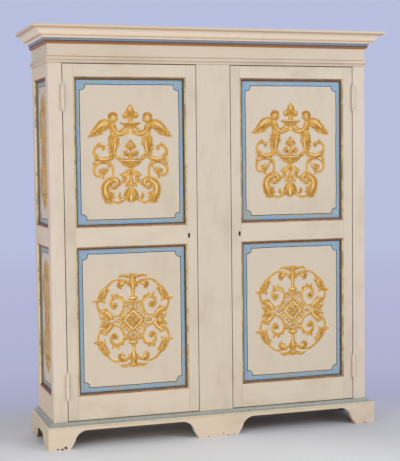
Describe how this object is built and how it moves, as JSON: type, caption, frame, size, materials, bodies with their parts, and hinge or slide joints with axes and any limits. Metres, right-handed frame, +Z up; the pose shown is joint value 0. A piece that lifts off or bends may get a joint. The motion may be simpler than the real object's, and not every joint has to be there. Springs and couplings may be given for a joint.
{
  "type": "kas cupboard",
  "caption": "Tall painted two-door kas cupboard with framed panels, painted scroll ornament, moulded cornice and bracket feet.",
  "frame": {"origin": "on the floor, under the middle of the overall box", "axes": "+Z up, the doors face -Y, +X to the right of someone who faces the doors"},
  "size_m": [1.918, 0.528, 2.15],
  "materials": {
    "cream_paint": "brushed cream paint on wood, satin, lightly worn",
    "panel_paint": "brushed cream paint with a painted blue border and ochre scroll ornament",
    "gilt_paint": "gold-ochre paint with brown glaze in the hollows",
    "blue_grey_paint": "blue-grey paint on wood, satin",
    "banded_paint": "brick-brown lower band and blue-grey upper band",
    "bare_pine": "planed softwood, unpainted",
    "painted_hinge_iron": "iron under cream paint",
    "hinge_pin_steel": "turned steel pin, oiled",
    "lock_iron": "forged iron, dark and matt",
    "bolt_iron": "filed iron, satin"
  },
  "bodies": {
    "carcass": {"front_left_post": "cream_paint", "front_right_post": "cream_paint", "rear_left_post": "cream_paint", "rear_right_post": "cream_paint", "centre_stile": "cream_paint", "frieze_front": "cream_paint", "frieze_sides": "cream_paint", "frieze_bead": "cream_paint", "crown_moulding": "cream_paint", "plinth_front": "cream_paint", "plinth_left": "cream_paint", "plinth_right": "cream_paint", "left_side_rails": "cream_paint", "right_side_rails": "cream_paint", "bottom_rail": "cream_paint", "back_bottom_rail": "bare_pine", "bottom_board": "bare_pine", "bottom_battens": "bare_pine", "centre_foot_block": "bare_pine", "frieze_back": "bare_pine", "top_board": "bare_pine", "back_boards": "bare_pine", "partition": "bare_pine", "left_shelves": "bare_pine", "right_shelves": "bare_pine", "shelf_cleats": "bare_pine", "door_stops": "bare_pine", "plinth_cap": "blue_grey_paint", "bed_moulding": "banded_paint", "left_side_mouldings": "gilt_paint", "right_side_mouldings": "gilt_paint", "hinge_post_halves": "painted_hinge_iron", "hinge_pins": "hinge_pin_steel", "bolt_keepers": "lock_iron", "left_side_lower_panel": "panel_paint", "left_side_upper_panel": "panel_paint", "right_side_lower_panel": "panel_paint", "right_side_upper_panel": "panel_paint"},
    "left_door": {"left_door_hinge_stile": "cream_paint", "left_door_lock_stile": "cream_paint", "left_door_top_rail": "cream_paint", "left_door_lock_rail": "cream_paint", "left_door_bottom_rail": "cream_paint", "left_door_lower_panel": "panel_paint", "left_door_upper_panel": "panel_paint", "left_door_panel_mouldings": "gilt_paint", "left_door_hinge_halves": "painted_hinge_iron", "left_lock_case": "lock_iron"},
    "left_lock_bolt_body": {"left_lock_bolt": "bolt_iron"},
    "right_door": {"right_door_hinge_stile": "cream_paint", "right_door_lock_stile": "cream_paint", "right_door_top_rail": "cream_paint", "right_door_lock_rail": "cream_paint", "right_door_bottom_rail": "cream_paint", "right_door_lower_panel": "panel_paint", "right_door_upper_panel": "panel_paint", "right_door_panel_mouldings": "gilt_paint", "right_door_hinge_halves": "painted_hinge_iron", "right_lock_case": "lock_iron"},
    "right_lock_bolt_body": {"right_lock_bolt": "bolt_iron"}
  },
  "joints": [
    {"name": "left_door_hinge", "type": "hinge", "parent": "carcass", "child": "left_door", "pos_m": [-0.80275, -0.189, 0.3185], "axis": [0, 0, -1], "range_deg": [0, 180]},
    {"name": "right_door_hinge", "type": "hinge", "parent": "carcass", "child": "right_door", "pos_m": [0.80275, -0.189, 0.3185], "axis": [0, 0, 1], "range_deg": [0, 180]},
    {"name": "left_bolt_slide", "type": "slide", "parent": "left_door", "child": "left_lock_bolt_body", "axis": [1, 0, 0], "range_m": [0, 0.015]},
    {"name": "right_bolt_slide", "type": "slide", "parent": "right_door", "child": "right_lock_bolt_body", "axis": [-1, 0, 0], "range_m": [0, 0.015]}
  ]
}
